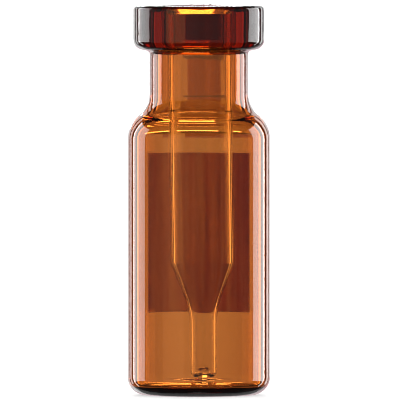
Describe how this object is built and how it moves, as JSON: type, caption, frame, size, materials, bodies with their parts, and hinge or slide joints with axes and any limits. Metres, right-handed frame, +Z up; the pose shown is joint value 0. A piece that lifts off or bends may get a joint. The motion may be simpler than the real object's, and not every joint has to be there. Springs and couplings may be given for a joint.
{
  "type": "glass sample vial",
  "caption": "Small amber glass vial with a crimp collar, holding a clear glass insert that narrows to a closed stem, and a white patch to write on.",
  "frame": {"origin": "centre of the base, on the surface that the vial stands on", "axes": "+Z up along the vial's axis to the mouth, +Y towards the writing patch, +X to the right when the patch is at the back"},
  "size_m": [0.0116, 0.0117, 0.032],
  "materials": {
    "amber_glass": "fire-polished amber glass",
    "clear_glass": "fire-polished clear glass",
    "white_enamel": "matt white enamel, fired on"
  },
  "bodies": {
    "root": {"vial": "amber_glass", "insert": "clear_glass", "writing_patch": "white_enamel"}
  },
  "joints": []
}
